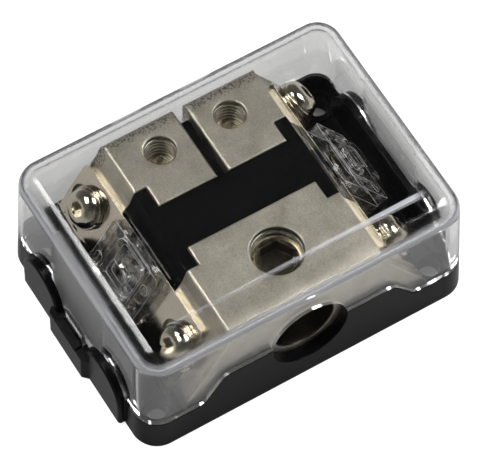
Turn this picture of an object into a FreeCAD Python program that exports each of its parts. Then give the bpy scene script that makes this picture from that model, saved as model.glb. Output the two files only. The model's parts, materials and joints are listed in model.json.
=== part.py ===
import FreeCAD, Part
import math
import os

# Fuse distribution block: one heavy cable in at the front, two lighter cables out at the back,
# and one bolted fuse on each sloping flank between them.
# X runs across the fuses, Y along the cables (+Y is the outlet side), Z up.
# The origin is the middle of the underside. All sizes are in millimetres.

os.makedirs("parts", exist_ok=True)

vector = FreeCAD.Vector
axis_x = vector(1, 0, 0)
axis_y = vector(0, 1, 0)
axis_z = vector(0, 0, 1)
sides = {"left": -1, "right": 1}
ends = {"front": -1, "rear": 1}

# Case outline, shared by the tray and the cover
case_length = 67.9
case_depth = 50.4
case_height = 28.3
case_corner_radius = 4.9
case_draft = math.radians(1.85)
half_length = case_length / 2
half_depth = case_depth / 2
draft_slope = math.tan(case_draft)

# Cover
cover_wall = 1.6
cover_top_thickness = 1.5
cover_top_radius = 4.15
cover_clearance_above_blocks = 2.7
seam_gap = 0.2

# Terminal blocks: one casting shape, narrower above than at its foot
block_height = case_height - cover_top_thickness - cover_clearance_above_blocks
block_top_half_width = half_length * 0.4624
shoulder_half_width = block_top_half_width + 1.0
shoulder_height = block_height - 2.85
flank_foot_half_width = half_length * 0.732
flank_foot_height = 8.21
block_front = -(half_depth - 2.55)
block_rear = half_depth - 3.5
input_block_rear = block_front * 0.194
output_block_front = block_rear * 0.2535
notch_half_width = block_top_half_width - 2.4
notch_front = block_front * 0.371
notch_rear = block_rear * 0.461
output_slot_width = 2.3
block_edge_chamfer = 0.3
block_rear_chamfer = 0.9
flank_run = flank_foot_half_width - shoulder_half_width
flank_drop = shoulder_height - flank_foot_height
flank_angle = math.atan2(flank_drop, flank_run)

# Tray
tray_wall = 1.8
floor_top = 2.8
underside_recess = 0.8
underside_border = 3.2
weld_overlap = 0.4
cable_height = (floor_top + block_height) / 2 - 0.55
rim_height = 7.5
raised_rim_height = cable_height + 0.5
raised_rim_half_width = half_length * 0.517
raised_rim_slope = math.radians(54)
raised_rim_bend = 2.8

# Grips and latches on the two short sides of the tray
grip_offset = half_depth * 0.4365
grip_radius = half_depth / 4
grip_centre_height = 5.7
grip_proud = 1.15
grip_edge_radius = 0.6
grip_depth_in_cover = 6.0
upstand_thickness = 1.2
upstand_height = grip_centre_height + grip_radius + 0.3
upstand_clearance = 0.35
upstand_bend_margin = 0.2
latch_half_width = half_depth * 0.2222
latch_proud = 2.2
latch_flare = 1.1
latch_height = 6.4
latch_lip_thickness = 1.6
latch_lip_setback = 0.15
latch_lip_rise = 0.5
latch_slot_half_width = latch_half_width - 2.25
latch_slot_depth = 3.6
latch_slot_width = 1.4
tongue_half_width = latch_slot_half_width - 0.35
tongue_thickness = 0.85
tongue_top = 9.6
tongue_end_gap = 0.6
skirt_inner_setback = 0.05
skirt_outer_setback = 0.02
skirt_overlap = 0.1

# Cable ways
input_bore_radius = 6.1
input_bore_depth = (input_block_rear - block_front) * 0.86
output_x = half_length * 0.2136
output_bore_radius = 4.1
output_bore_depth = (block_rear - output_block_front) * 0.753
input_opening_radius = 7.75
output_opening_radius = 5.0
entry_wall_half_width = half_length * 0.442
entry_wall_clearance = 0.1

# Clamp screws, with the tapped holes that they turn in and how deep they sit at rest
input_screw_y = block_front * 0.5766
input_hole_radius = 4.95
input_thread_depth = 0.5
input_screw_length = 6.0
input_screw_sink = 2.4
input_screw_face_radius = 3.7
input_key = 6.0
output_screw_y = block_rear * 0.7037
output_hole_radius = 3.02
output_thread_depth = 0.35
output_screw_length = 5.0
output_screw_sink = 5.0
output_screw_face_radius = 2.3
output_key = 3.0
clamp_point_share = 0.32
key_depth_share = 0.5
thread_clearance = 0.05

# Fuse screws with their lock washers
fuse_screw_middle = 0.1
fuse_screw_half_spacing = half_depth - 9.15
fuse_screw_rise = 0.2
fuse_screw_radius = 1.95
fuse_screw_depth = 6.5
fuse_screw_tip_chamfer = 0.4
fuse_hole_spare_depth = 0.6
fuse_head_radius = 3.7
fuse_head_height = 2.0
fuse_head_rim = 0.35
fuse_head_flat_radius = 1.95
fuse_head_bulge = (0.62, 0.7)
fuse_key = 2.7
fuse_key_depth = 1.2
lock_washer_radius = 4.05
lock_washer_hole = 2.1
lock_washer_thickness = 0.95
lock_washer_split = 0.8

# Fuses: a stamped strip with a clear two-part shell, hollow round the narrow neck
strip_length = 2 * (half_depth - 4.7)
strip_width = 12.0
strip_thickness = 0.9
strip_corner_radius = 1.5
strip_drop = 2.08
neck_width = 3.0
neck_length = 7.2
neck_shoulder = 1.2
neck_corner_radius = 0.5
slot_offset = fuse_screw_half_spacing
slot_length = 7.6
slot_width = 4.5
fuse_shift = {"left": 1.5, "right": -0.65}
shell_end_room = 1.5
shell_length = notch_rear - notch_front - 2 * shell_end_room
shell_width = 12.2
shell_corner_radius = 0.9
shell_shift = {"left": -0.45, "right": 0.4}
outer_plate_depth = 2.85
outer_window_depth = 4.1
outer_window_length = shell_length * 0.578
outer_window_width = shell_width - 1.4
inner_plate_depth = 2.1
inner_window_depth = 2.65
inner_window_length = shell_length * 0.422
inner_window_width = shell_width + 0.2
window_corner_radius = inner_window_length * 0.29
window_edge_radius = 0.35
window_recess_length = shell_length * 0.3
window_recess_width = 3.2
window_recess_depth = 1.4
window_recess_radius = 0.6
cavity_width = 8.4
cavity_wall = 0.9
outer_cavity_depth = 2.0
inner_cavity_depth = 1.5
post_offset = shell_length * 0.39
post_drop = 2.2
post_radius = 0.95
post_height = 0.7
post_root = 0.2
post_crown_share = 0.8
shell_room = 0.3

# Divider
divider_clearance = 0.1
divider_top = block_height - 0.1
web_rear = block_rear - 2.2
web_height = block_height - 2.5

# Screws through the tray floor into the blocks, and holes that fix the tray to a panel
block_screw_radius = 1.45
block_screw_hole_room = 0.15
block_screw_head_radius = 2.8
block_screw_head_room = 0.25
block_screw_head_height = 1.6
block_screw_head_sink = 0.3
block_screw_length = 7.0
block_screw_spare_depth = 0.6
block_screw_tip_chamfer = 0.3
block_screw_slot = 0.8
block_screw_pad_width = 1.6
input_fixing_x = half_length * 0.383
input_fixing_y = block_front * 0.596
output_fixing_x = input_fixing_x
output_fixing_y = block_rear * 0.719
well_rib_height = 4.6
well_rib_thickness = 1.0
mounting_hole_x = flank_foot_half_width + 3.55
mounting_hole_y = half_depth - 6.2
mounting_hole_radius = 2.1
mounting_boss_radius = 3.1
mounting_boss_height = 1.2
mounting_pad_width = 0.6

# The seat is the middle line of a fuse strip on its flank
seat_distance = strip_drop + strip_width / 2
seat_x = shoulder_half_width + seat_distance * math.cos(flank_angle)
seat_z = shoulder_height - seat_distance * math.sin(flank_angle)

# Cutters reach past what they cut by this much, and found edges lie this close to where they should
beyond = 5.0
margin = 1.0
tolerance = 0.01


def wall_at(half_size, height):
    """Distance of a drafted outer wall from the middle at a height."""
    return half_size - height * draft_slope


def outline(corners, place):
    """Closed wire through 2D corners (u, v, bend radius), put in space by place(u, v)."""
    count = len(corners)
    starts = []
    arcs = []
    for index, (u, v, radius) in enumerate(corners):
        corner = vector(u, v, 0)
        back_u, back_v, _ = corners[index - 1]
        next_u, next_v, _ = corners[(index + 1) % count]
        back = (vector(back_u, back_v, 0) - corner).normalize()
        ahead = (vector(next_u, next_v, 0) - corner).normalize()
        if radius == 0:
            starts.append((corner, corner))
            arcs.append(None)
            continue
        half_angle = back.getAngle(ahead) / 2
        reach = radius / math.tan(half_angle)
        middle = (back + ahead).normalize()
        inner = corner + middle * (radius / math.sin(half_angle) - radius)
        starts.append((corner + back * reach, corner + ahead * reach))
        arcs.append(inner)
    edges = []
    for index in range(count):
        first, last = starts[index]
        if arcs[index] is not None:
            edges.append(Part.Arc(place(first.x, first.y), place(arcs[index].x, arcs[index].y),
                                  place(last.x, last.y)).toShape())
        following = starts[(index + 1) % count][0]
        if (following - last).Length > 1e-6:
            edges.append(Part.LineSegment(place(last.x, last.y), place(following.x, following.y)).toShape())
    return Part.Wire(edges)


def flat(height):
    return lambda u, v: vector(u, v, height)


def upright_xz(y):
    return lambda u, v: vector(u, y, v)


def upright_yz(x):
    return lambda u, v: vector(x, u, v)


def prism(corners, place, direction):
    """Solid made by pushing an outline along a direction."""
    return Part.Face(outline(corners, place)).extrude(direction)


def box_between(low, high):
    return Part.makeBox(high[0] - low[0], high[1] - low[1], high[2] - low[2], vector(*low))


def rounded_rectangle(half_u, half_v, radius):
    return [(-half_u, -half_v, radius), (half_u, -half_v, radius),
            (half_u, half_v, radius), (-half_u, half_v, radius)]


def mirrored(shape):
    """The same shape on the other side of the middle plane."""
    return shape.mirror(vector(0, 0, 0), axis_x)


def edges_above(shape, height):
    return [edge for edge in shape.Edges if edge.BoundBox.ZMin > height - tolerance]


def drafted_block(inset, low, high):
    """The case outline, inset by a wall, between two heights, with its walls leaning in."""
    wires = []
    for height in (low, high):
        half_u = wall_at(half_length, height) - inset
        half_v = wall_at(half_depth, height) - inset
        wires.append(outline(rounded_rectangle(half_u, half_v, case_corner_radius - inset), flat(height)))
    return Part.makeLoft(wires, True, True)


def cylinder(radius, length, start, direction):
    return Part.makeCylinder(radius, length, start, direction)


def hexagon_prism(across_flats, depth, base_height):
    """Upright hexagonal prism centred on the Z axis."""
    corner_radius = across_flats / math.sqrt(3)
    corners = [(corner_radius * math.cos(math.radians(60 * step)),
                corner_radius * math.sin(math.radians(60 * step)), 0) for step in range(6)]
    return prism(corners, flat(base_height), vector(0, 0, depth))


def revolved(points):
    """Solid turned about the Z axis from (radius, height) points."""
    wire = Part.makePolygon([vector(radius, 0, height) for radius, height in points + points[:1]])
    return Part.Face(wire).revolve(vector(0, 0, 0), axis_z, 360)


def on_flank(shape, side, y):
    """Place a shape on a sloping flank: its X along the cable axis, its Y up the slope, its Z outwards."""
    run = math.cos(flank_angle)
    rise = math.sin(flank_angle)
    sign = sides[side]
    matrix = FreeCAD.Matrix(0, -sign * run, sign * rise, sign * seat_x,
                            sign, 0, 0, y,
                            0, rise, run, seat_z,
                            0, 0, 0, 1)
    placed = shape.copy()
    placed.Placement = FreeCAD.Placement(matrix).multiply(placed.Placement)
    return placed


def rim_outline(gap):
    """Front and rear edge line between tray and cover: low at the corners, raised in the middle."""
    shift = gap * math.tan(raised_rim_slope / 2)
    run = (raised_rim_height - rim_height) / math.tan(raised_rim_slope)
    top = raised_rim_height + gap
    low = rim_height + gap
    inner = raised_rim_half_width + shift
    outer = inner + run
    far = half_length + beyond
    return [(-far, -beyond, 0), (far, -beyond, 0), (far, low, 0), (outer, low, raised_rim_bend - gap),
            (inner, top, raised_rim_bend + gap), (-inner, top, raised_rim_bend + gap),
            (-outer, low, raised_rim_bend - gap), (-far, low, 0)]


def below_seam(gap):
    """Everything under the seam of the front, rear and corner walls, raised by a gap."""
    reach = half_depth + beyond
    inner = half_depth - case_corner_radius
    corners = rim_outline(gap)
    front = prism(corners, upright_xz(-reach), vector(0, reach - inner, 0))
    rear = prism(corners, upright_xz(inner), vector(0, reach - inner, 0))
    slab = box_between((-half_length - beyond, -reach, -beyond),
                       (half_length + beyond, reach, rim_height + gap))
    return slab.fuse(front).fuse(rear)


def grip_solid(side, end, inner, outer, gap):
    """One arched finger grip between two distances from the middle."""
    radius = grip_radius + gap
    middle = grip_centre_height
    y = ends[end] * grip_offset
    foot = box_between((inner, y - radius, 0), (outer, y + radius, middle))
    crown = cylinder(radius, outer - inner, vector(inner, y, middle), axis_x)
    above = box_between((inner, y - radius - margin, middle),
                        (outer, y + radius + margin, middle + radius + margin))
    arch = foot.fuse(crown.common(above)).removeSplitter()
    if gap == 0:
        face_edges = [edge for edge in arch.Edges
                      if abs(edge.BoundBox.XMin - outer) < tolerance and edge.BoundBox.ZMax > tolerance]
        arch = arch.makeFillet(grip_edge_radius, face_edges)
    return mirrored(arch) if sides[side] < 0 else arch


def upstand(side):
    """Low inner wall that the cover slips over, with rounded ends."""
    cover_inner = wall_at(half_length, upstand_height) - cover_wall
    outer = cover_inner - upstand_clearance
    inner = outer - upstand_thickness
    reach = grip_offset + grip_radius
    bend = grip_radius - upstand_bend_margin
    foot = floor_top - weld_overlap
    corners = [(-reach, foot, 0), (reach, foot, 0),
               (reach, upstand_height, bend), (-reach, upstand_height, bend)]
    sign = sides[side]
    return prism(corners, upright_yz(sign * inner), vector(sign * (outer - inner), 0, 0))


def latch_bump(side):
    """Raised block outside the short wall, with flared ends and a lip round the latch slot."""
    wall = half_length - tray_wall / 2
    outer = half_length + latch_proud
    step = half_length + grip_proud
    plan = [(wall, -latch_half_width - latch_flare), (step, -latch_half_width - latch_flare),
            (outer, -latch_half_width), (outer, latch_half_width),
            (step, latch_half_width + latch_flare), (wall, latch_half_width + latch_flare)]
    bump = prism([(x, y, 0) for x, y in plan], flat(0), vector(0, 0, latch_height))
    lip = box_between((outer - latch_lip_thickness, -latch_slot_half_width, latch_height),
                      (outer - latch_lip_setback, latch_slot_half_width, latch_height + latch_lip_rise))
    bump = bump.fuse(lip)
    return mirrored(bump) if sides[side] < 0 else bump


def latch_slot(side):
    """Pocket behind the lip that takes the cover's tongue."""
    outer = half_length + latch_proud - latch_lip_thickness
    inner = outer - latch_slot_width
    slot = box_between((inner, -latch_slot_half_width, latch_height - latch_slot_depth),
                       (outer, latch_slot_half_width, latch_height + latch_lip_rise + margin))
    return mirrored(slot) if sides[side] < 0 else slot


def cable_openings():
    """Cylinders through the front wall and the rear wall where the cables pass."""
    cuts = [cylinder(input_opening_radius, beyond * 2, vector(0, -half_depth - beyond, cable_height), axis_y)]
    for sign in sides.values():
        cuts.append(cylinder(output_opening_radius, beyond * 2,
                             vector(sign * output_x, half_depth - beyond, cable_height), axis_y))
    return cuts


def entry_walls():
    """Thicker stretch of the front and rear walls, up to the terminal blocks."""
    foot = floor_top - weld_overlap
    front = box_between((-entry_wall_half_width, -half_depth + tray_wall, foot),
                        (entry_wall_half_width, block_front - entry_wall_clearance, raised_rim_height))
    rear = box_between((-entry_wall_half_width, block_rear + entry_wall_clearance, foot),
                       (entry_wall_half_width, half_depth - tray_wall, raised_rim_height))
    return front, rear


def block_fixings():
    """Named places of the screws that hold the blocks down."""
    return {"front_left": (-input_fixing_x, input_fixing_y), "front_right": (input_fixing_x, input_fixing_y),
            "rear_left": (-output_fixing_x, output_fixing_y), "rear_right": (output_fixing_x, output_fixing_y)}


def mounting_holes():
    return [(x_sign * mounting_hole_x, y_sign * mounting_hole_y) for x_sign in sides.values()
            for y_sign in ends.values()]


def well_rib(side):
    """Low rib on the floor along the foot of the blocks."""
    inner = flank_foot_half_width + divider_clearance
    rib = box_between((inner, block_front, floor_top - weld_overlap),
                      (inner + well_rib_thickness, block_rear, well_rib_height))
    return mirrored(rib) if sides[side] < 0 else rib


def underside_pocket():
    """Shallow pocket under the floor that leaves a border and a pad round each screw."""
    corner = case_corner_radius - underside_border / 2
    pocket = prism(rounded_rectangle(half_length - underside_border, half_depth - underside_border, corner),
                   flat(-margin), vector(0, 0, margin + underside_recess))
    pads = [(block_screw_head_radius + block_screw_pad_width, place) for place in block_fixings().values()]
    pads += [(mounting_boss_radius + mounting_pad_width, place) for place in mounting_holes()]
    return pocket.cut([cylinder(radius, 2 * margin + underside_recess, vector(x, y, -margin), axis_z)
                       for radius, (x, y) in pads])


def saddle(side):
    """Stretch between the grips where the side wall stops at the latch, for the cover's skirt."""
    cut = box_between((half_length - tray_wall - margin, -grip_offset, latch_height),
                      (half_length + margin, grip_offset, case_height))
    return mirrored(cut) if sides[side] < 0 else cut


def base_tray():
    outer = drafted_block(0, 0, raised_rim_height + margin)
    inner = drafted_block(tray_wall, floor_top, raised_rim_height + 2 * margin)
    tray = outer.cut(inner).common(below_seam(0)).cut([saddle(side) for side in sides])
    inner_x = wall_at(half_length, upstand_height) - cover_wall - upstand_clearance - upstand_thickness
    additions = list(entry_walls())
    for side in sides:
        additions += [grip_solid(side, end, inner_x, half_length + grip_proud, 0) for end in ends]
        additions += [upstand(side), latch_bump(side), well_rib(side)]
    for x, y in mounting_holes():
        additions.append(cylinder(mounting_boss_radius, mounting_boss_height + weld_overlap,
                                  vector(x, y, floor_top - weld_overlap), axis_z))
    tray = tray.fuse(additions)
    cuts = [underside_pocket()] + cable_openings() + [latch_slot(side) for side in sides]
    through = floor_top + mounting_boss_height + beyond
    for x, y in block_fixings().values():
        cuts.append(cylinder(block_screw_radius + block_screw_hole_room, through,
                             vector(x, y, -margin), axis_z))
        cuts.append(cylinder(block_screw_head_radius + block_screw_head_room,
                             margin + block_screw_head_sink + block_screw_head_height,
                             vector(x, y, -margin), axis_z))
    for x, y in mounting_holes():
        cuts.append(cylinder(mounting_hole_radius, through, vector(x, y, -margin), axis_z))
    return tray.cut(cuts).removeSplitter()


def skirt_and_tongue():
    """Right-hand stretch of cover wall between the grips, and the tongue that enters the latch."""
    wall = wall_at(half_length, latch_height)
    grip_edge = math.sqrt((grip_radius + seam_gap) ** 2 - (latch_height + seam_gap - grip_centre_height) ** 2)
    half_width = grip_offset - grip_edge
    skirt = box_between((wall - cover_wall + skirt_inner_setback, -half_width,
                         latch_height + latch_lip_rise + seam_gap),
                        (wall - skirt_outer_setback, half_width, rim_height + seam_gap + skirt_overlap))
    outer = half_length + latch_proud - latch_lip_thickness - (latch_slot_width - tongue_thickness) / 2
    tongue = box_between((outer - tongue_thickness, -tongue_half_width,
                          latch_height - latch_slot_depth + tongue_end_gap),
                         (outer, tongue_half_width, tongue_top))
    return [skirt, tongue]


def clear_cover():
    """Drafted hood with a rounded top; its lower edge comes from the tray's own seam and grips."""
    inner_top = case_height - cover_top_thickness
    outer = drafted_block(0, 0, case_height)
    outer = outer.makeFillet(cover_top_radius, edges_above(outer, case_height))
    inner = drafted_block(cover_wall, -margin, inner_top)
    inner = inner.makeFillet(cover_top_radius - cover_wall, edges_above(inner, inner_top))
    cuts = [below_seam(seam_gap)] + cable_openings()
    for side in sides:
        for end in ends:
            cuts.append(grip_solid(side, end, half_length - grip_depth_in_cover,
                                   half_length + margin, seam_gap))
    shell = outer.cut(inner).cut(cuts)
    right = skirt_and_tongue()
    return shell.fuse(right + [mirrored(piece) for piece in right]).removeSplitter()


def block_section():
    """Shared end view of the terminal blocks, right half: flat top, steep shoulder, sloping flank, foot."""
    return [(block_top_half_width, block_height), (shoulder_half_width, shoulder_height),
            (flank_foot_half_width, flank_foot_height), (flank_foot_half_width, floor_top)]


def block_blank(low_y, high_y):
    right = block_section()
    left = [(-x, z) for x, z in reversed(right)]
    corners = [(x, z, 0) for x, z in right + left]
    return prism(corners, upright_xz(low_y), vector(0, high_y - low_y, 0))


def notch_cutters(low_y, high_y):
    """Room cut from the block corners for the bodies of the fuses."""
    reach = flank_foot_half_width + beyond
    right = box_between((notch_half_width, low_y, 0), (reach, high_y, case_height))
    return [right, mirrored(right)]


def tapped_flank_hole(side, end):
    y = fuse_screw_middle + ends[end] * fuse_screw_half_spacing
    depth = fuse_screw_depth + fuse_hole_spare_depth
    hole = cylinder(fuse_screw_radius + thread_clearance, depth + margin,
                    vector(0, fuse_screw_rise, -depth), axis_z)
    return on_flank(hole, side, y)


def tapped_fixing_hole(name):
    x, y = block_fixings()[name]
    top = block_screw_head_sink + block_screw_length + block_screw_spare_depth
    return cylinder(block_screw_radius + thread_clearance, top, vector(x, y, 0), axis_z)


def long_top_edges(shape):
    """Edges of the flat top that run along the cables."""
    return [edge for edge in edges_above(shape, block_height) if edge.BoundBox.XLength < tolerance]


def rear_top_edges(shape):
    return [edge for edge in edges_above(shape, block_height) if edge.BoundBox.YMin > block_rear - tolerance]


def clamp_hole(radius, x, y):
    """Tapped hole from the flat top down to the cable."""
    return cylinder(radius, block_height - cable_height + margin, vector(x, y, cable_height), axis_z)


def input_block():
    block = block_blank(block_front, input_block_rear)
    block = block.cut(notch_cutters(notch_front, input_block_rear + margin))
    block = block.makeChamfer(block_edge_chamfer, long_top_edges(block))
    cuts = [cylinder(input_bore_radius, input_bore_depth + margin,
                     vector(0, block_front - margin, cable_height), axis_y),
            clamp_hole(input_hole_radius, 0, input_screw_y)]
    for side in sides:
        cuts.append(tapped_flank_hole(side, "front"))
        cuts.append(tapped_fixing_hole("front_" + side))
    return block.cut(cuts)


def output_block(side):
    """Left or right of a pair: the rear casting without its other half and the slot between them."""
    block = block_blank(output_block_front, block_rear)
    block = block.cut(notch_cutters(output_block_front - margin, notch_rear))
    half = box_between((output_slot_width / 2, output_block_front - margin, 0),
                       (flank_foot_half_width + margin, block_rear + margin, case_height))
    block = block.common(mirrored(half) if sides[side] < 0 else half)
    block = block.makeChamfer(block_rear_chamfer, rear_top_edges(block))
    block = block.makeChamfer(block_edge_chamfer, long_top_edges(block))
    x = sides[side] * output_x
    cuts = [cylinder(output_bore_radius, output_bore_depth + margin,
                     vector(x, block_rear - output_bore_depth, cable_height), axis_y),
            clamp_hole(output_hole_radius, x, output_screw_y),
            tapped_flank_hole(side, "rear"),
            tapped_fixing_hole("rear_" + side)]
    return block.cut(cuts)


def wing_section():
    """End view of a divider wing: the block's outline, hollowed where the fuse shell lies."""
    run = math.cos(flank_angle)
    rise = math.sin(flank_angle)
    shell_over = (inner_window_width - strip_width) / 2 + shell_room
    start = strip_drop - shell_over
    depth = inner_window_depth - strip_thickness / 2 + shell_room
    upper = (shoulder_half_width + start * run, shoulder_height - start * rise)
    inward = (-depth * rise, -depth * run)
    foot = (flank_foot_half_width + inward[0], flank_foot_height + inward[1])
    top_drop = block_height - divider_top
    top_lean = (shoulder_half_width - block_top_half_width) / (block_height - shoulder_height)
    return [(notch_half_width - margin, divider_top),
            (block_top_half_width + top_drop * top_lean, divider_top),
            (shoulder_half_width, shoulder_height), upper,
            (upper[0] + inward[0], upper[1] + inward[1]), foot,
            (foot[0], floor_top), (notch_half_width - margin, floor_top)]


def block_divider():
    """Moulded piece that keeps the blocks apart: cross wall, slot web and a wing under each fuse."""
    gap = divider_clearance
    wall = box_between((-notch_half_width + gap, input_block_rear + gap, floor_top),
                       (notch_half_width - gap, output_block_front - gap, divider_top))
    web_half = output_slot_width / 2 - gap
    web = box_between((-web_half, output_block_front - margin, floor_top), (web_half, web_rear, web_height))
    corners = [(x, z, 0) for x, z in wing_section()]
    wing = prism(corners, upright_xz(notch_front + gap), vector(0, notch_rear - notch_front - 2 * gap, 0))
    room = box_between((0, notch_front, 0), (notch_half_width + gap, input_block_rear + gap, case_height))
    rear_room = box_between((0, output_block_front - gap, 0), (notch_half_width + gap, notch_rear, case_height))
    wing = wing.cut([room, rear_room])
    return wall.fuse([web, wing, mirrored(wing)]).removeSplitter()


def clamp_screw(radius, face_radius, length, key):
    """Headless screw standing on its flat point, with a hexagon socket in its chamfered upper end."""
    top_chamfer = radius - face_radius
    point_chamfer = radius * clamp_point_share
    body = revolved([(0, 0), (radius - point_chamfer, 0), (radius, point_chamfer),
                     (radius, length - top_chamfer), (face_radius, length), (0, length)])
    depth = length * key_depth_share
    return body.cut(hexagon_prism(key, depth + margin, length - depth))


def input_clamp_screw():
    screw = clamp_screw(input_hole_radius - input_thread_depth, input_screw_face_radius,
                        input_screw_length, input_key)
    screw.translate(vector(0, input_screw_y, block_height - input_screw_sink - input_screw_length))
    return screw


def output_clamp_screw(side):
    screw = clamp_screw(output_hole_radius - output_thread_depth, output_screw_face_radius,
                        output_screw_length, output_key)
    screw.translate(vector(sides[side] * output_x, output_screw_y,
                           block_height - output_screw_sink - output_screw_length))
    return screw


def fuse_strip():
    """Stamped strip: two slotted tabs joined by a narrow neck, lying on the flank."""
    corners = rounded_rectangle(strip_length / 2, strip_width / 2, strip_corner_radius)
    strip = prism(corners, flat(0), vector(0, 0, strip_thickness))
    waist = neck_length / 2
    edge = strip_width / 2 + margin
    punch = vector(0, 0, strip_thickness + 2 * margin)
    cuts = []
    for sign in (-1, 1):
        bite = [(-waist - neck_shoulder, sign * edge, 0), (-waist, sign * neck_width / 2, neck_corner_radius),
                (waist, sign * neck_width / 2, neck_corner_radius), (waist + neck_shoulder, sign * edge, 0)]
        cuts.append(prism(bite, flat(-margin), punch))
        ends_of_slot = rounded_rectangle(slot_length / 2, slot_width / 2, slot_width / 2 - tolerance)
        slot = [(x + sign * slot_offset, y, radius) for x, y, radius in ends_of_slot]
        cuts.append(prism(slot, flat(-margin), punch))
    return strip.cut(cuts)


def raised_plate(length, width, plate_depth, window_length, window_width, window_depth):
    """Plate standing on the strip's face with a rounded window block on it."""
    skin = strip_thickness / 2
    plate = prism(rounded_rectangle(length / 2, width / 2, shell_corner_radius),
                  flat(skin), vector(0, 0, plate_depth - skin))
    window = prism(rounded_rectangle(window_length / 2, window_width / 2, window_corner_radius),
                   flat(skin), vector(0, 0, window_depth - skin))
    return plate.fuse(window.makeFillet(window_edge_radius, edges_above(window, window_depth)))


def shell_cavity(window_length, depth):
    """Air round the neck, inside one half of the shell."""
    corners = rounded_rectangle(window_length / 2 - cavity_wall, cavity_width / 2, cavity_wall)
    return prism(corners, flat(0), vector(0, 0, depth))


def outer_shell():
    """Clear half that faces outwards, with a sight recess and two welding posts."""
    body = raised_plate(shell_length, shell_width, outer_plate_depth,
                        outer_window_length, outer_window_width, outer_window_depth)
    recess = prism(rounded_rectangle(window_recess_length / 2, window_recess_width / 2, window_recess_radius),
                   flat(outer_window_depth - window_recess_depth), vector(0, 0, window_recess_depth + margin))
    body = body.cut([recess, shell_cavity(outer_window_length, outer_cavity_depth)])
    for sign in (-1, 1):
        post = cylinder(post_radius, post_height + post_root,
                        vector(sign * post_offset, sign * post_drop, outer_plate_depth - post_root), axis_z)
        crown = edges_above(post, outer_plate_depth + post_height)
        body = body.fuse(post.makeFillet(post_height * post_crown_share, crown))
    return on_strip_face(body.removeSplitter())


def inner_shell():
    """Clear half behind the strip, lower and narrower."""
    body = raised_plate(shell_length, shell_width, inner_plate_depth,
                        inner_window_length, inner_window_width, inner_window_depth)
    body = body.cut(shell_cavity(inner_window_length, inner_cavity_depth)).removeSplitter()
    return on_strip_face(body.mirror(vector(0, 0, 0), axis_z))


def on_strip_face(shape):
    """Lift a shape that was drawn about the middle of the strip, as the strip itself stands on the flank."""
    shape.translate(vector(0, 0, strip_thickness / 2))
    return shape


def fuse_screw():
    """Button head screw with a hexagon socket; the underside of its head is at height zero."""
    dome = fuse_head_height - fuse_head_rim
    drop = fuse_head_radius - fuse_head_flat_radius
    bulge = vector(fuse_head_flat_radius + drop * fuse_head_bulge[0], 0,
                   fuse_head_rim + dome * fuse_head_bulge[1])
    rim_edge = vector(fuse_head_radius, 0, fuse_head_rim)
    flat_edge = vector(fuse_head_flat_radius, 0, fuse_head_height)
    corners = [vector(0, 0, fuse_head_height), vector(0, 0, 0), vector(fuse_head_radius, 0, 0), rim_edge]
    edges = [Part.LineSegment(start, end).toShape() for start, end in zip(corners, corners[1:])]
    edges.append(Part.Arc(rim_edge, bulge, flat_edge).toShape())
    edges.append(Part.LineSegment(flat_edge, corners[0]).toShape())
    head = Part.Face(Part.Wire(edges)).revolve(vector(0, 0, 0), axis_z, 360)
    grip = strip_thickness + lock_washer_thickness
    shank = cylinder(fuse_screw_radius, grip + fuse_screw_depth, vector(0, 0, -grip - fuse_screw_depth), axis_z)
    tip = [edge for edge in shank.Edges if edge.BoundBox.ZMax < -grip - fuse_screw_depth + tolerance]
    shank = shank.makeChamfer(fuse_screw_tip_chamfer, tip)
    socket = hexagon_prism(fuse_key, fuse_key_depth + margin, fuse_head_height - fuse_key_depth)
    return head.fuse(shank).cut(socket)


def lock_washer():
    """Split ring with its two ends a little apart."""
    ring = cylinder(lock_washer_radius, lock_washer_thickness, vector(0, 0, 0), axis_z)
    rims = [edge for edge in ring.Edges if edge.BoundBox.ZLength < tolerance]
    ring = ring.makeFillet(lock_washer_thickness / 5, rims)
    bore = cylinder(lock_washer_hole, lock_washer_thickness + 2 * margin, vector(0, 0, -margin), axis_z)
    split = box_between((0, -lock_washer_split / 2, -margin),
                        (lock_washer_radius + margin, lock_washer_split / 2, lock_washer_thickness + margin))
    return ring.cut([bore, split])


def block_screw():
    """Pan head screw driven up through the floor, with a single slot in its head."""
    head = cylinder(block_screw_head_radius, block_screw_head_height, vector(0, 0, 0), axis_z)
    rim = [edge for edge in head.Edges if edge.BoundBox.ZMax < tolerance]
    head = head.makeFillet(block_screw_head_height / 2, rim)
    shank = cylinder(block_screw_radius, block_screw_length, vector(0, 0, 0), axis_z)
    shank = shank.makeChamfer(block_screw_tip_chamfer, edges_above(shank, block_screw_length))
    slot = box_between((-block_screw_head_radius - margin, -block_screw_slot / 2, -margin),
                       (block_screw_head_radius + margin, block_screw_slot / 2, block_screw_head_height / 2))
    return head.fuse(shank).cut(slot)


def export(shape, name):
    shape.exportStep("parts/" + name + ".step")
    print(name, "solids", len(shape.Solids), "valid", shape.isValid(), "volume", round(shape.Volume, 1))


def build_fuse(side):
    """One fuse on its flank with the two screws and split washers that hold it."""
    export(on_flank(fuse_strip(), side, fuse_shift[side]), "fuse_strip_" + side)
    shell_y = fuse_shift[side] + shell_shift[side]
    export(on_flank(outer_shell(), side, shell_y), "fuse_shell_outer_" + side)
    export(on_flank(inner_shell(), side, shell_y), "fuse_shell_inner_" + side)
    for end, direction in ends.items():
        y = fuse_screw_middle + direction * fuse_screw_half_spacing
        washer = lock_washer()
        washer.translate(vector(0, fuse_screw_rise, strip_thickness))
        export(on_flank(washer, side, y), "lock_washer_" + end + "_" + side)
        screw = fuse_screw()
        screw.translate(vector(0, fuse_screw_rise, strip_thickness + lock_washer_thickness))
        export(on_flank(screw, side, y), "fuse_screw_" + end + "_" + side)


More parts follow.
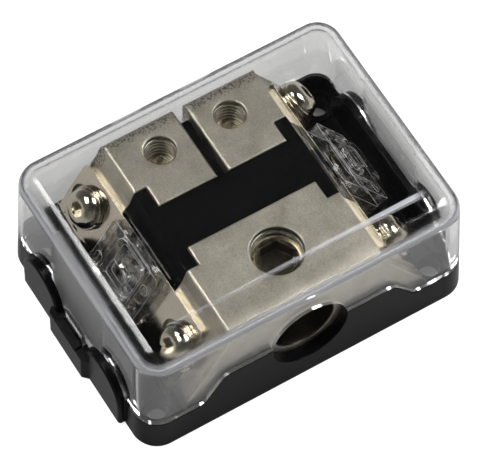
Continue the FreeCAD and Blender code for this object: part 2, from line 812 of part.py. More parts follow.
def build():
    export(base_tray(), "base_tray")
    export(clear_cover(), "clear_cover")
    export(block_divider(), "block_divider")
    export(input_block(), "input_block")
    export(input_clamp_screw(), "input_clamp_screw")
    for side in sides:
        export(output_block(side), "output_block_" + side)
        export(output_clamp_screw(side), "output_clamp_screw_" + side)
        build_fuse(side)
    for name, (x, y) in block_fixings().items():
        screw = block_screw()
        screw.translate(vector(x, y, block_screw_head_sink))
        export(screw, "block_screw_" + name)


build()
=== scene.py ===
import json
import math

import bpy
import numpy as np
from mathutils import Matrix, Vector


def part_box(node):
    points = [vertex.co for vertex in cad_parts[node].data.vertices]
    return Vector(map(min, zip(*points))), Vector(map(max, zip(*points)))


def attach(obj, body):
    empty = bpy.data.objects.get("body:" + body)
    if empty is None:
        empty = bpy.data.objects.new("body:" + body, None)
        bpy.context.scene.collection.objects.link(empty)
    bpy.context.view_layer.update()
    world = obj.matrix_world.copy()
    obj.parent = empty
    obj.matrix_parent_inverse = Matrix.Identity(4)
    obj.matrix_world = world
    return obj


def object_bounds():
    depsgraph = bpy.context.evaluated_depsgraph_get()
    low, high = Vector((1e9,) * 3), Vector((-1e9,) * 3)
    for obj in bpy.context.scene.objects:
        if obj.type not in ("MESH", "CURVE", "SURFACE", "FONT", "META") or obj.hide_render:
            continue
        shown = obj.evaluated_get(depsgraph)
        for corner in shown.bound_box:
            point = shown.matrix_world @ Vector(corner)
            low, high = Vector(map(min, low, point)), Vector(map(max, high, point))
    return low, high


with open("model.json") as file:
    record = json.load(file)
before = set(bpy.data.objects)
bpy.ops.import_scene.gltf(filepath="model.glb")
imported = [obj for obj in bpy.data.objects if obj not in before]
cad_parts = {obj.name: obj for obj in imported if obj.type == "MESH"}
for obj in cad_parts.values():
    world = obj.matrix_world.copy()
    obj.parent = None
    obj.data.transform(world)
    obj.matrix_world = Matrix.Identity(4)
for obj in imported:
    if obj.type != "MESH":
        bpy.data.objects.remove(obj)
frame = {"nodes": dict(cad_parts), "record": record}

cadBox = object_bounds()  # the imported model's own box, before anything is added
mm = 0.001
sides = ("left", "right")
ends = ("front", "rear")
print("frame loaded:", len(frame["nodes"]), "nodes")


# Writing a material: a Signal is one output socket, and + - * / ** and abs() on it add Math nodes
class Signal:
    def __init__(self, sheet, socket):
        self.sheet = sheet
        self.socket = socket

    def withMath(self, operation, first, second):
        return self.sheet.add("ShaderNodeMath", {"operation": operation}, {0: first, 1: second})

    def __add__(self, other):
        return self.withMath("ADD", self, other)

    def __radd__(self, other):
        return self.withMath("ADD", other, self)

    def __sub__(self, other):
        return self.withMath("SUBTRACT", self, other)

    def __rsub__(self, other):
        return self.withMath("SUBTRACT", other, self)

    def __mul__(self, other):
        return self.withMath("MULTIPLY", self, other)

    def __rmul__(self, other):
        return self.withMath("MULTIPLY", other, self)

    def __truediv__(self, other):
        return self.withMath("DIVIDE", self, other)

    def __pow__(self, other):
        return self.withMath("POWER", self, other)

    def __abs__(self):
        return self.sheet.add("ShaderNodeMath", {"operation": "ABSOLUTE"}, {0: self})


class Sheet:
    # the node tree of one material or world; every node comes from add()
    def __init__(self, owner):
        owner.use_nodes = True
        self.tree = owner.node_tree
        self.tree.nodes.clear()

    def add(self, kind, settings=None, values=None, output=0):
        node = self.tree.nodes.new(kind)
        for name, setting in (settings or {}).items():
            setattr(node, name, setting)
        for name, value in (values or {}).items():
            if isinstance(value, Signal):
                self.tree.links.new(value.socket, node.inputs[name])
            else:
                node.inputs[name].default_value = value
        return Signal(self, node.outputs[output]) if node.outputs else None

    def limit(self, value):
        return self.add("ShaderNodeClamp", values={"Value": value})

    def above(self, value, start, gain):
        # 0 up to start, then rising to 1
        return self.limit((value - start) * gain)

    def below(self, value, end, gain):
        # 1 well under end, falling to 0 there
        return self.limit((end - value) * gain)

    def blend(self, share, first, second):
        return self.add("ShaderNodeMix", {"data_type": "RGBA"}, {0: share, 6: first, 7: second}, output=2)

    def place(self):
        return self.add("ShaderNodeTexCoord", output="Object")

    def part(self, vector, axis):
        return self.add("ShaderNodeSeparateXYZ", values={"Vector": vector}, output=axis)

    def trueNormal(self):
        return self.add("ShaderNodeNewGeometry", output="Normal")

    def cloud(self, size, detail=3.0, stretch=(1.0, 1.0, 1.0)):
        # soft noise with spots one size across, drawn out along each axis by stretch
        scale = tuple(1.0 / (size * length) for length in stretch)
        spread = self.add("ShaderNodeMapping", values={"Vector": self.place(), "Scale": scale})
        return self.add("ShaderNodeTexNoise", values={"Vector": spread, "Scale": 1.0, "Detail": detail})

    def facets(self, size):
        # flat cells one size across, each with its own level from 0 to 1
        spread = self.add("ShaderNodeMapping", values={"Vector": self.place(), "Scale": (1.0 / size,) * 3})
        return self.add("ShaderNodeTexVoronoi", values={"Vector": spread, "Scale": 1.0}, output="Color")

    def vector(self, operation, first, second=None):
        # a vector sum, difference or unit vector; for SCALE the second value is a plain number
        values = {0: first}
        if second is not None:
            values["Scale" if operation == "SCALE" else 1] = second
        return self.add("ShaderNodeVectorMath", {"operation": operation}, values)

    def rounded(self, radius):
        return self.add("ShaderNodeBevel", {"samples": 6}, {"Radius": radius})

    def edges(self, radius, gain):
        # 0 on a flat face and 1 along an edge, where the rounded normal turns away from the true one
        likeness = self.add("ShaderNodeVectorMath", {"operation": "DOT_PRODUCT"},
                            {0: self.rounded(radius), 1: self.trueNormal()}, output="Value")
        return self.limit((1.0 - likeness) * gain)

    def relief(self, height, depth, radius):
        # bumps of the given depth, on edges that are rounded by the given radius
        return self.add("ShaderNodeBump", values={"Strength": 1.0, "Distance": depth,
                                                  "Height": height, "Normal": self.rounded(radius)})

    def principled(self, values):
        return self.add("ShaderNodeBsdfPrincipled", values=values)

    def either(self, share, first, second):
        # the second shader by its share, the first for the rest
        return self.add("ShaderNodeMixShader", values={0: share, 1: first, 2: second})

    def surface(self, shader):
        self.add("ShaderNodeOutputMaterial", values={"Surface": shader})


def newFinish(name):
    finish = bpy.data.materials.new(name)
    return finish, Sheet(finish)


def dress(finish, *names):
    for name in names:
        for slot in frame["nodes"][name].material_slots:
            slot.material = finish


def grey(level):
    return (level, level, level, 1.0)


# Tray: black moulded plastic with a polished skin and a faint flow pattern
glossyBlackLook = {
    "deep": (0.003, 0.0027, 0.0034, 1.0),
    "light": (0.008, 0.0072, 0.009, 1.0),
    "edge": (0.035, 0.034, 0.036, 1.0),
    "flowSize": 9 * mm,
    "flowStretch": (1.6, 1.6, 0.5),
    "flowRoughness": 0.1,
    "grainSize": 0.35 * mm,
    "grainDepth": 0.012 * mm,
    "edgeRadius": 0.35 * mm,
    "wearGain": 1.6,
    "wearSize": 2.5 * mm,
    "wearRoughness": 0.12,
    "roughness": 0.2,
    "shine": 0.08,
}


def glossyBlack(look):
    finish, sheet = newFinish("glossyBlack")
    flow = sheet.cloud(look["flowSize"], detail=4.0, stretch=look["flowStretch"])
    skin = sheet.cloud(look["grainSize"], detail=2.0)
    wear = sheet.edges(look["edgeRadius"], look["wearGain"]) * sheet.cloud(look["wearSize"])
    colour = sheet.blend(flow, look["deep"], look["light"])
    sheet.surface(sheet.principled({
        "Base Color": sheet.blend(wear, colour, look["edge"]),
        "Roughness": look["roughness"] + look["flowRoughness"] * flow + look["wearRoughness"] * wear,
        "Normal": sheet.relief(skin, look["grainDepth"], look["edgeRadius"]),
        "Specular IOR Level": look["shine"],
    }))
    return finish


# Divider: black plastic from a textured tool, so finer and duller than the tray
satinBlackLook = {
    "deep": (0.002, 0.002, 0.0021, 1.0),
    "light": (0.005, 0.005, 0.0051, 1.0),
    "paler": grey(0.04),
    "patchSize": 5 * mm,
    "patchRoughness": 0.15,
    "grainSize": 0.25 * mm,
    "grainDepth": 0.03 * mm,
    "edgeRadius": 0.2 * mm,
    "wearGain": 1.3,
    "wearShare": 0.5,
    "roughness": 0.34,
    "shine": 0.09,
}


def satinBlack(look):
    finish, sheet = newFinish("satinBlack")
    spark = sheet.cloud(look["grainSize"])
    patch = sheet.cloud(look["patchSize"])
    wear = sheet.edges(look["edgeRadius"], look["wearGain"])
    colour = sheet.blend(patch, look["deep"], look["light"])
    sheet.surface(sheet.principled({
        "Base Color": sheet.blend(wear * look["wearShare"], colour, look["paler"]),
        "Roughness": look["roughness"] + look["patchRoughness"] * patch,
        "Normal": sheet.relief(spark, look["grainDepth"], look["edgeRadius"]),
        "Specular IOR Level": look["shine"],
    }))
    return finish


# Terminal blocks: cast alloy, plated; a painted highlight along the edges and painted shade in the cable
# bores
satinNickelLook = {
    "shade": (0.46, 0.425, 0.345, 1.0),
    "body": (0.72, 0.68, 0.585, 1.0),
    "mottleSize": 3.2 * mm,
    "speckSize": 0.22 * mm,
    "speckDepth": 0.025 * mm,
    "tone": {"mottle": 1.3, "speck": 1.9, "from": 1.15},
    "scratched": grey(0.8),
    "scratchSize": 0.5 * mm,
    "scratchStretch": (0.35, 9.0, 0.35),
    "scratchFrom": 0.62,
    "scratchGain": 8.0,
    "scratchShare": 0.35,
    "scratchHeight": 0.6,
    # painted highlight: this pale gold stands for light caught along the block edges
    "edge": (0.93, 0.86, 0.68, 1.0),
    "edgeRadius": 0.5 * mm,
    "edgeGain": 2.4,
    "edgeShare": 0.75,
    # painted shade: this dark colour stands for the shade inside the cable bores
    "bore": (0.09, 0.08, 0.06, 1.0),
    "paintedBoreShadeShare": 0.78,
    "roughness": 0.34,
    "rougher": {"mottle": 0.14, "scratch": 0.1, "edge": 0.12},
}
# the saw cut leaves a dull ground with dark grain on the rear blocks' back faces and just in front of them
sawnEdge = {
    "at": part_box("output_block_left")[1].y,
    "width": 3.4 * mm,
    "ground": (0.30, 0.28, 0.235, 1.0),
    "groundGain": 1.6,
    "groundFrom": 0.35,
    "groundShare": 0.5,
    "grain": (0.08, 0.073, 0.06, 1.0),
    "grainSize": 0.42 * mm,
    "grainFrom": 0.62,
    "grainMore": 0.2,
    "grainGain": 14.0,
    "grainFade": 2.5,
    "grainShare": 0.7,
}
# the mask of a bore ends a little beyond its wall and its end
boreMask = {"wallSoftness": 0.1 * mm, "wallReach": 2.0, "endSoftness": 1.0 * mm}


def insideBores(sheet):
    # 1 on the walls of the cable bores: near enough to a bore's axis, and no deeper than its length
    x, y, z = [sheet.part(sheet.place(), axis) for axis in "XYZ"]
    inside = 0.0
    for mount in frame["record"]["mounts"]:
        if "cable_entry" in mount["name"]:
            mouth = mount["pos_m"]
            radius = mount["dims"]["r_mm"] * mm
            length = mount["dims"]["length_mm"] * mm
            aside = x - mouth[0]
            above = z - mouth[2]
            depth = (mouth[1] - y) * mount["axis"][1]
            fromWall = (radius - (aside * aside + above * above) ** 0.5) / boreMask["wallSoftness"]
            within = sheet.limit(fromWall + boreMask["wallReach"])
            inside = inside + within * sheet.limit((length - depth) / boreMask["endSoftness"] + 1.0)
    return sheet.limit(inside)


def satinNickel(look, saw):
    finish, sheet = newFinish("satinNickel")
    mottle = sheet.cloud(look["mottleSize"], detail=5.0)
    speck = sheet.cloud(look["speckSize"], detail=2.0)
    scratch = sheet.cloud(look["scratchSize"], detail=2.0, stretch=look["scratchStretch"])
    scratches = sheet.above(scratch, look["scratchFrom"], look["scratchGain"])
    edge = sheet.edges(look["edgeRadius"], look["edgeGain"])
    rear = sheet.limit((sheet.part(sheet.place(), "Y") - saw["at"]) / saw["width"] + 1.0)
    grain = sheet.cloud(saw["grainSize"]) - saw["grainFrom"] + saw["grainMore"] * rear
    grain = sheet.limit(grain * saw["grainGain"]) * sheet.limit(rear * saw["grainFade"])
    ground = sheet.limit(rear * saw["groundGain"] - saw["groundFrom"])
    tone = mottle * look["tone"]["mottle"] + speck * look["tone"]["speck"] - look["tone"]["from"]
    colour = sheet.blend(sheet.limit(tone), look["shade"], look["body"])
    colour = sheet.blend(scratches * look["scratchShare"], colour, look["scratched"])
    colour = sheet.blend(ground * saw["groundShare"], colour, saw["ground"])
    # painted highlight along the edges
    colour = sheet.blend(edge * look["edgeShare"], colour, look["edge"])
    colour = sheet.blend(grain * saw["grainShare"], colour, saw["grain"])
    rougher = look["rougher"]
    sheet.surface(sheet.principled({
        # painted shade inside the cable bores
        "Base Color": sheet.blend(insideBores(sheet) * look["paintedBoreShadeShare"], colour, look["bore"]),
        "Metallic": 1.0,
        "Roughness": (look["roughness"] + rougher["mottle"] * mottle
                      - rougher["scratch"] * scratches - rougher["edge"] * edge),
        "Normal": sheet.relief(speck + look["scratchHeight"] * scratches, look["speckDepth"],
                               look["edgeRadius"]),
    }))
    return finish


# Fuse strips: bright plated sheet, almost a mirror, with faint rolling lines along the blade and a painted
# highlight along the edges
brightPlateLook = {
    "silver": (0.58, 0.54, 0.47, 1.0),
    "warm": (0.62, 0.54, 0.42, 1.0),
    "tarnishSize": 4.5 * mm,
    "tarnishRoughness": 0.1,
    "lineSize": 0.3 * mm,
    "lineStretch": (1.0, 14.0, 1.0),
    "lineDepth": 0.004 * mm,
    # painted highlight: this pale gold stands for light caught along the strip edges
    "edge": (0.9, 0.8, 0.56, 1.0),
    "edgeRadius": 0.12 * mm,
    "edgeGain": 2.2,
    "edgeShare": 0.6,
    "roughness": 0.1,
}


def brightPlate(look):
    finish, sheet = newFinish("brightPlate")
    lines = sheet.cloud(look["lineSize"], detail=2.0, stretch=look["lineStretch"])
    tarnish = sheet.cloud(look["tarnishSize"], detail=4.0)
    edge = sheet.edges(look["edgeRadius"], look["edgeGain"])
    colour = sheet.blend(tarnish, look["silver"], look["warm"])
    sheet.surface(sheet.principled({
        # painted highlight along the edges
        "Base Color": sheet.blend(edge * look["edgeShare"], colour, look["edge"]),
        "Metallic": 1.0,
        "Roughness": look["roughness"] + look["tarnishRoughness"] * tarnish,
        "Normal": sheet.relief(lines, look["lineDepth"], look["edgeRadius"]),
    }))
    return finish


# Fuse screws, spring washers, lighter clamp screws and the screws below: polished nickel with small dents
# and a painted highlight along the edges
polishedNickelLook = {
    "silver": (0.56, 0.535, 0.48, 1.0),
    "warm": (0.60, 0.53, 0.40, 1.0),
    "toneSize": 3 * mm,
    "toneRoughness": 0.12,
    "dentSize": 0.7 * mm,
    "dentDepth": 0.02 * mm,
    # painted highlight: this pale grey stands for light caught along the edges
    "edge": grey(0.85),
    "edgeRadius": 0.15 * mm,
    "edgeGain": 2.0,
    "edgeShare": 0.5,
    "roughness": 0.09,
}


def polishedNickel(look):
    finish, sheet = newFinish("polishedNickel")
    dents = sheet.cloud(look["dentSize"], detail=2.0)
    tone = sheet.cloud(look["toneSize"])
    edge = sheet.edges(look["edgeRadius"], look["edgeGain"])
    colour = sheet.blend(tone, look["silver"], look["warm"])
    sheet.surface(sheet.principled({
        # painted highlight along the edges
        "Base Color": sheet.blend(edge * look["edgeShare"], colour, look["edge"]),
        "Metallic": 1.0,
        "Roughness": look["roughness"] + look["toneRoughness"] * tone,
        "Normal": sheet.relief(dents, look["dentDepth"], look["edgeRadius"]),
    }))
    return finish


# Heavy clamp screw: browned steel, bright round its rim and along its edges
darkSteelLook = {
    "screw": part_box("input_clamp_screw"),
    "dark": (0.045, 0.038, 0.028, 1.0),
    "brown": (0.12, 0.10, 0.072, 1.0),
    "paler": (0.92, 0.84, 0.66, 1.0),
    "rimFrom": 0.87,  # share of the screw's radius
    "rimGain": 20.0,
    "scaleSize": 0.8 * mm,
    "scaleDepth": 0.015 * mm,
    "scaleRoughness": 0.15,
    "edgeRadius": 0.2 * mm,
    "edgeGain": 2.6,
    "edgeShare": 0.35,
    "roughness": 0.3,
    "smoother": 0.1,
}


def darkSteel(look):
    finish, sheet = newFinish("darkSteel")
    scale = sheet.cloud(look["scaleSize"])
    low, high = look["screw"]
    x, y = [sheet.part(sheet.place(), axis) for axis in "XY"]
    aside = x - (low.x + high.x) / 2
    ahead = y - (low.y + high.y) / 2
    share = (aside * aside + ahead * ahead) ** 0.5 / ((high.x - low.x) / 2)
    rim = sheet.above(share, look["rimFrom"], look["rimGain"])
    brightRimAndEdges = sheet.limit(rim + look["edgeShare"] * sheet.edges(look["edgeRadius"], look["edgeGain"]))
    sheet.surface(sheet.principled({
        "Base Color": sheet.blend(brightRimAndEdges, sheet.blend(scale, look["dark"], look["brown"]), look["paler"]),
        "Metallic": 1.0,
        "Roughness": look["roughness"] + look["scaleRoughness"] * scale - look["smoother"] * brightRimAndEdges,
        "Normal": sheet.relief(scale, look["scaleDepth"], look["edgeRadius"]),
    }))
    return finish


# Cover: clear plastic that bends what is behind it, with a painted pale haze standing for light gathered in
# its rounded and cut edges; a Start or End pair says where a mask starts or ends and how steep it is there
clearCoverLook = {
    "colour": (0.985, 0.985, 0.98, 1.0),
    "index": 1.49,
    "waveSize": 12 * mm,
    "waveDepth": 0.05 * mm,
    "waveStrength": 0.4,
    "scuffSize": 1.1 * mm,
    "scuffStretch": (1.0, 3.0, 1.0),
    "scuffStart": (0.58, 5.0),
    "roughness": 0.015,
    "rougher": {"scuff": 0.05, "rounding": 0.12, "latch": 0.3},
    "roundingStart": (0.06, 6.0),
    "roundingEnd": (0.995, 25.0),
    "browStart": (0.05, 8.0),
    "browEnd": (0.62, 4.0),
    "topGain": 4.0,
    "underGain": -3.0,
    "cutBelow": 17 * mm,
    "latchFrom": 31 * mm,  # the skirt between the grips is duller than the rest
    "latchReach": 9.5 * mm,
    "fade": 1 * mm,
    # painted light: this pale colour stands for light gathered in the rounded and cut edges and along the
    # glint
    "paintedHaze": (0.70, 0.71, 0.75, 1.0),
    "hazeRoughness": 0.25,
    "paintedHazeShare": {"brow": 0.62, "cut": 0.75, "glint": 0.6},
}
# the painted highlight near the front: a long glint in the top, where it lies across, and from where to
# where it runs
frontGlint = {
    "across": -17.8 * mm,
    "low": -26.0 * mm,
    "high": 27.8 * mm,
    "width": 0.38 * mm,
    "slimmest": 0.5,
    "softness": 0.35,
    "endGain": 20.0,
    "faintest": 0.35,
    "brighter": 0.65,
}


def glint(sheet, across, along, shape):
    # a painted highlight line: 1 on the line and 0 beside it; wider and brighter toward its high end
    share = (along - shape["low"]) / (shape["high"] - shape["low"])
    half = shape["width"] * (shape["slimmest"] + share)
    aside = abs(across - shape["across"])
    line = sheet.limit((half - aside) / (shape["width"] * shape["softness"]))
    inside = sheet.limit(share * shape["endGain"]) * sheet.limit((1.0 - share) * shape["endGain"])
    return line * inside * (shape["faintest"] + shape["brighter"] * share ** 2.0)


def clearCover(look):
    finish, sheet = newFinish("clearCover")
    wave = sheet.cloud(look["waveSize"], detail=1.0)
    scratch = sheet.cloud(look["scuffSize"], detail=5.0, stretch=look["scuffStretch"])
    scuff = sheet.above(scratch, *look["scuffStart"])
    x, y, z = [sheet.part(sheet.place(), axis) for axis in "XYZ"]
    upward = sheet.part(sheet.trueNormal(), "Z")
    slope = abs(upward)
    rounding = sheet.above(slope, *look["roundingStart"]) * sheet.below(slope, *look["roundingEnd"])
    brow = sheet.above(slope, *look["browStart"]) * sheet.below(slope, *look["browEnd"])
    top = sheet.limit(upward * look["topGain"])
    acrossLatch = sheet.limit((abs(x) - look["latchFrom"]) / look["fade"])
    latch = acrossLatch * sheet.limit((look["latchReach"] - abs(y)) / look["fade"])
    under = sheet.limit(upward * look["underGain"])
    cut = under * sheet.limit((look["cutBelow"] - z) / look["fade"]) * (1.0 - latch)
    rougher = look["rougher"]
    clear = sheet.principled({
        "Base Color": look["colour"],
        "Roughness": (look["roughness"] + rougher["scuff"] * scuff
                      + rougher["rounding"] * rounding + rougher["latch"] * latch),
        "Transmission Weight": 1.0,
        "IOR": look["index"],
        "Normal": sheet.add("ShaderNodeBump", values={"Strength": look["waveStrength"],
                                                      "Distance": look["waveDepth"], "Height": wave}),
    })
    # painted light on the rounded brows, the cut edges and the glint line
    pale = sheet.principled({"Base Color": look["paintedHaze"], "Roughness": look["hazeRoughness"]})
    paintedHaze = look["paintedHazeShare"]
    # painted highlight along the front glint line
    line = glint(sheet, y, x, frontGlint)
    share = brow * top * paintedHaze["brow"] + cut * paintedHaze["cut"] + line * top * paintedHaze["glint"]
    sheet.surface(sheet.either(sheet.limit(share), clear, pale))
    return finish


# Fuse shells: small clear mouldings. The view passes through, with painted shade near the edges and in
# random cells where the shell would bend it; over it lies a thin bright veil, tilted in small facets, that
# is nearly full along the edges as a painted highlight
clearShellLook = {
    "tint": (0.965, 0.96, 0.955, 1.0),
    # painted shade: this grey passage stands for the shade where the shell would bend the view
    "paintedBendShade": (0.52, 0.51, 0.50, 1.0),
    "bentRadius": 0.6 * mm,
    "bentGain": 4.0,
    "veil": (0.85, 0.85, 0.85, 1.0),
    "veilShare": {"plain": 0.03, "scuff": 0.04, "glance": 0.35, "edge": 0.95, "glint": 0.36},
    # painted highlight: this near white stands for light caught along the shell edges
    "edge": grey(0.95),
    "edgeRadius": 0.28 * mm,
    "edgeGain": 9.0,
    "scuffSize": 0.7 * mm,
    "scuffStart": (0.56, 5.0),
    "scuffRoughness": 0.2,
    "facetSize": 1.3 * mm,
    "facetTilt": 0.9,
    "glintStart": (0.7, 12.0),
    "dimEnd": (0.38, 12.0),
    "dimShare": 0.6,
    "metallic": 0.9,
    "roughness": 0.08,
    "shine": 0.8,
    "index": 1.5,
}


def clearShell(look):
    finish, sheet = newFinish("clearShell")
    scuff = sheet.above(sheet.cloud(look["scuffSize"], detail=5.0), *look["scuffStart"])
    edge = sheet.edges(look["edgeRadius"], look["edgeGain"])
    glance = sheet.add("ShaderNodeFresnel", values={"IOR": look["index"]})
    bend = sheet.edges(look["bentRadius"], look["bentGain"])
    facet = sheet.facets(look["facetSize"])
    tilt = sheet.vector("SCALE", sheet.vector("SUBTRACT", facet, (0.5, 0.5, 0.5)), look["facetTilt"])
    faced = sheet.vector("NORMALIZE", sheet.vector("ADD", sheet.rounded(look["edgeRadius"]), tilt))
    glints = sheet.above(facet, *look["glintStart"])
    dim = sheet.below(facet, *look["dimEnd"])
    clear = sheet.add("ShaderNodeBsdfTransparent", values={"Color": look["tint"]})
    paintedBendShade = sheet.add("ShaderNodeBsdfTransparent", values={"Color": look["paintedBendShade"]})
    # painted shade near the edges and in random dim cells
    through = sheet.either(sheet.limit(bend + look["dimShare"] * dim), clear, paintedBendShade)
    veil = sheet.principled({
        # painted highlight along the edges
        "Base Color": sheet.blend(edge, look["veil"], look["edge"]),
        "Metallic": look["metallic"] * (1.0 - edge),
        "Roughness": look["roughness"] + look["scuffRoughness"] * scuff,
        "Specular IOR Level": look["shine"],
        "Normal": faced,
    })
    part = look["veilShare"]
    share = (part["plain"] + part["scuff"] * scuff + part["glance"] * glance + part["edge"] * edge
             + part["glint"] * glints)
    sheet.surface(sheet.either(sheet.limit(share), through, veil))
    return finish


def finishNodes():
    blocks = ["input_block"] + ["output_block_" + side for side in sides]
    fixings = [kind + "_" + end + "_" + side for kind in ("fuse_screw", "lock_washer", "block_screw")
               for end in ends for side in sides]
    lighterClamps = ["output_clamp_screw_" + side for side in sides]
    shells = ["fuse_shell_" + half + "_" + side for half in ("outer", "inner") for side in sides]
    dress(glossyBlack(glossyBlackLook), "base_tray")
    dress(satinBlack(satinBlackLook), "block_divider")
    dress(satinNickel(satinNickelLook, sawnEdge), *blocks)
    dress(brightPlate(brightPlateLook), *["fuse_strip_" + side for side in sides])
    dress(polishedNickel(polishedNickelLook), *fixings, *lighterClamps)
    dress(darkSteel(darkSteelLook), "input_clamp_screw")
    dress(clearCover(clearCoverLook), "clear_cover")
    dress(clearShell(clearShellLook), *shells)


finishNodes()
print("finishes on the packed nodes")


# New pieces
def meshFromGrid(name, points, crests, finish):
    # points[i, j] lie along the path (i) and round the profile (j); the profile closes, and the ends
    # are capped; crests[i, j] is 1 on the crest of the profile and 0 at its root, for the finish
    rows, columns = points.shape[:2]
    index = np.arange(rows * columns).reshape(rows, columns)
    here = index[:-1]
    ahead = index[1:]
    walls = np.stack([here, np.roll(here, -1, axis=1), np.roll(ahead, -1, axis=1), ahead], axis=-1)
    faces = [tuple(face) for face in walls.reshape(-1, 4).tolist()]
    faces += [tuple(reversed(index[0].tolist())), tuple(index[-1].tolist())]
    mesh = bpy.data.meshes.new(name)
    mesh.from_pydata(points.reshape(-1, 3).tolist(), [], faces)
    mesh.materials.append(finish)
    mesh.shade_smooth()
    crest = mesh.attributes.new("crest", "FLOAT", "POINT")
    crest.data.foreach_set("value", crests.reshape(-1))
    piece = bpy.data.objects.new(name, mesh)
    bpy.context.scene.collection.objects.link(piece)
    return piece


# painted shade and highlight: the nearly black root colour stands for shade in the thread roots, the pale
# crest colour for light caught on the crests
threadLook = {
    "root": (0.02, 0.018, 0.014, 1.0),
    "crest": (1.0, 0.95, 0.82, 1.0),
    "crestPower": 2.6,
    "crestFrom": 0.8,
    "crestMore": 0.4,
    "chatterSize": 0.5 * mm,
    "chatterDepth": 0.01 * mm,
    "chatterRoughness": 0.12,
    "edgeRadius": 0.1 * mm,
    "roughness": 0.24,
}


def threadNickel(look):
    finish, sheet = newFinish("threadNickel")
    chatter = sheet.cloud(look["chatterSize"], detail=2.0)
    crest = sheet.add("ShaderNodeAttribute", {"attribute_name": "crest"}, output="Fac")
    # painted highlight on the crests over painted shade in the roots
    paler = crest ** look["crestPower"] * (look["crestFrom"] + look["crestMore"] * chatter)
    sheet.surface(sheet.principled({
        "Base Color": sheet.blend(paler, look["root"], look["crest"]),
        "Metallic": 1.0,
        "Roughness": look["roughness"] + look["chatterRoughness"] * chatter,
        "Normal": sheet.relief(chatter, look["chatterDepth"], look["edgeRadius"]),
    }))
    return finish


# Threads in the tapped holes over the cables, in millimetres; each hole's axis comes from its packed screw
inputThread = {"pitch": 1.5, "depth": 0.46, "low": 19.4, "high": 23.3}
outputThread = {"pitch": 1.0, "depth": 0.32, "low": 17.5, "high": 23.6}
# rooted: how far the ridge reaches into the wall; slack: room between its crest and the screw;
# root and crest: half widths as a share of the pitch; fade: the turns over which it grows at each end
threadBuild = {
    "stepsPerTurn": 48,
    "rooted": 0.06,
    "slack": 0.04,
    "root": 0.44,
    "crest": 0.14,
    "fade": 0.25,
}


def threadRidge(name, screw, shape, build, finish):
    # a blunt ridge carried up a helix, which grows out of the wall and back into it at its ends
    low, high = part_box(screw)
    middle = (low + high) / 2
    wall = (high.x - low.x) / 2 / mm + shape["depth"] + build["slack"]
    turns = (shape["high"] - shape["low"]) / shape["pitch"]
    turn = np.linspace(0.0, turns, int(turns * build["stepsPerTurn"]))[:, None]
    fade = np.clip(np.minimum(turn, turns - turn) / build["fade"], 0.0, 1.0)
    inward = np.array([0.0, 1.0, 1.0, 0.0])[None, :]
    halfRoot = build["root"] * shape["pitch"]
    halfCrest = build["crest"] * shape["pitch"]
    across = np.array([-halfRoot, -halfCrest, halfCrest, halfRoot])[None, :]
    radius = wall + build["rooted"] - (shape["depth"] + build["rooted"]) * inward * fade
    height = shape["low"] + shape["pitch"] * turn + across
    angle = 2 * math.pi * turn
    points = np.stack([middle.x / mm + radius * np.cos(angle),
                       middle.y / mm + radius * np.sin(angle),
                       height + 0 * radius], axis=-1) * mm
    crests = np.broadcast_to(inward, radius.shape)[:, ::-1]
    piece = meshFromGrid(name, points[:, ::-1], crests, finish)
    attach(piece, "base")


threadFinish = threadNickel(threadLook)
threadRidge("input_thread", "input_clamp_screw", inputThread, threadBuild, threadFinish)
for side in sides:
    screwName = "output_clamp_screw_" + side
    threadRidge("output_thread_" + side, screwName, outputThread, threadBuild, threadFinish)
print("threads in the clamp holes")


# Studio: a pale floor, a dim soft sky and two soft panels overhead. The camera sees floor and sky white;
# reflections and the clear plastic see the floor darker, and the sky lighter near the horizon
floorLook = {
    "size": 3.0,
    "points": 3,  # along each side
    "colour": grey(0.57),
    "patch": grey(0.59),
    "patchSize": 30 * mm,
    "roughness": 0.85,
    "glowDirect": 0.75,  # added for the camera, so that the open floor is white
    "glowBeyond": 0.02,  # added in reflections and through the cover
}
skyLook = {
    "plain": 0.2,
    "direct": 1.0,
    "horizon": 0.34,
    "zenith": 0.03,
    "fadeGain": 1.25,
    "fadePower": 0.5,
}
panels = {
    "keyPanel": {"from": (-0.37, 0.31, 0.87), "size": 0.42, "distance": 0.9, "power": 4.3},
    "sidePanel": {"from": (0.58, -0.08, 0.81), "size": 0.2, "distance": 0.45, "power": 1.6},
}


def seenRays(sheet):
    # two masks: straight from the camera, and on from a reflection or through the clear plastic
    direct, glossy, through = [sheet.add("ShaderNodeLightPath", output=kind)
                               for kind in ("Is Camera Ray", "Is Glossy Ray", "Is Transmission Ray")]
    return direct, sheet.limit(glossy + through) * (1.0 - direct)


def softSky(look):
    world = bpy.data.worlds.new("softSky")
    bpy.context.scene.world = world
    sheet = Sheet(world)
    direct, beyond = seenRays(sheet)
    height = sheet.part(sheet.add("ShaderNodeTexCoord", output="Generated"), "Z")
    fade = sheet.limit(height * look["fadeGain"]) ** look["fadePower"]
    shaded = look["horizon"] + (look["zenith"] - look["horizon"]) * fade
    strength = look["plain"] * (1.0 - direct - beyond) + look["direct"] * direct + shaded * beyond
    light = sheet.add("ShaderNodeBackground", values={"Color": grey(1.0), "Strength": strength})
    sheet.add("ShaderNodeOutputWorld", values={"Surface": light})


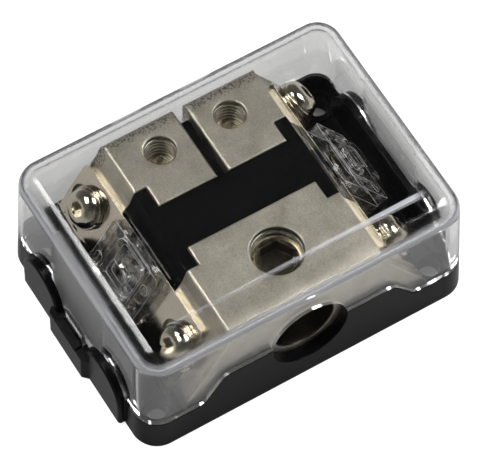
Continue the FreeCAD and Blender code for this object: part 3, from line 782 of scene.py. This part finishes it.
def paleFloor(look):
    finish, sheet = newFinish("paleFloor")
    direct, beyond = seenRays(sheet)
    patches = sheet.cloud(look["patchSize"], detail=2.0)
    sheet.surface(sheet.principled({
        "Base Color": sheet.blend(patches, look["colour"], look["patch"]),
        "Roughness": look["roughness"],
        "Emission Color": grey(1.0),
        "Emission Strength": look["glowDirect"] * direct + look["glowBeyond"] * beyond,
    }))
    way = np.linspace(-look["size"] / 2, look["size"] / 2, look["points"])
    x, y = np.meshgrid(way, way)
    points = np.stack([x, y, np.full_like(x, cadBox[0][2])], axis=-1).reshape(-1, 3)
    index = np.arange(look["points"] ** 2).reshape(x.shape)
    corners = [index[:-1, :-1], index[:-1, 1:], index[1:, 1:], index[1:, :-1]]
    mesh = bpy.data.meshes.new("studioFloor")
    mesh.from_pydata(points.tolist(), [], np.stack(corners, axis=-1).reshape(-1, 4).tolist())
    mesh.materials.append(finish)
    floor = bpy.data.objects.new("studioFloor", mesh)
    bpy.context.scene.collection.objects.link(floor)


def softPanel(name, shape):
    lamp = bpy.data.lights.new(name, "AREA")
    lamp.shape = "SQUARE"
    lamp.size = shape["size"]
    lamp.energy = shape["power"]
    panel = bpy.data.objects.new(name, lamp)
    aim = Vector(shape["from"]).normalized()
    panel.location = aim * shape["distance"]
    panel.rotation_euler = aim.to_track_quat("Z", "Y").to_euler()
    bpy.context.scene.collection.objects.link(panel)


softSky(skyLook)
paleFloor(floorLook)
for panelName, panelShape in panels.items():
    softPanel(panelName, panelShape)
print("studio")


# Camera: turned about Z, lifted, rolled a little, aimed near the middle of the case
photoView = {
    "turn": -31.817,
    "lift": 60.263,
    "roll": 0.940,
    "distance": 721.98 * mm,
    "aside": -0.262 * mm,
    "above": 0.930 * mm,
    "aimHeight": 14.145 * mm,
    "lens": 301.76,
    "sensor": 36.0,
    "sight": 10.0,
}


def photoCamera(view):
    turn, lift, roll = (math.radians(view[name]) for name in ("turn", "lift", "roll"))
    back = Vector((math.sin(turn) * math.cos(lift), -math.cos(turn) * math.cos(lift), math.sin(lift)))
    level = Vector((math.cos(turn), math.sin(turn), 0.0))
    upright = back.cross(level)
    right = level * math.cos(roll) + upright * math.sin(roll)
    up = upright * math.cos(roll) - level * math.sin(roll)
    aim = Vector((0.0, 0.0, view["aimHeight"]))
    eye = aim + back * view["distance"] - right * view["aside"] - up * view["above"]
    lens = bpy.data.cameras.new("photoCamera")
    lens.lens = view["lens"]
    lens.sensor_width = view["sensor"]
    lens.clip_end = view["sight"]
    camera = bpy.data.objects.new("photoCamera", lens)
    camera.matrix_world = Matrix.Translation(eye) @ Matrix((right, up, back)).transposed().to_4x4()
    bpy.context.scene.collection.objects.link(camera)
    bpy.context.scene.camera = camera


photoCamera(photoView)
bpy.context.scene.view_settings.view_transform = "Standard"
print("camera")
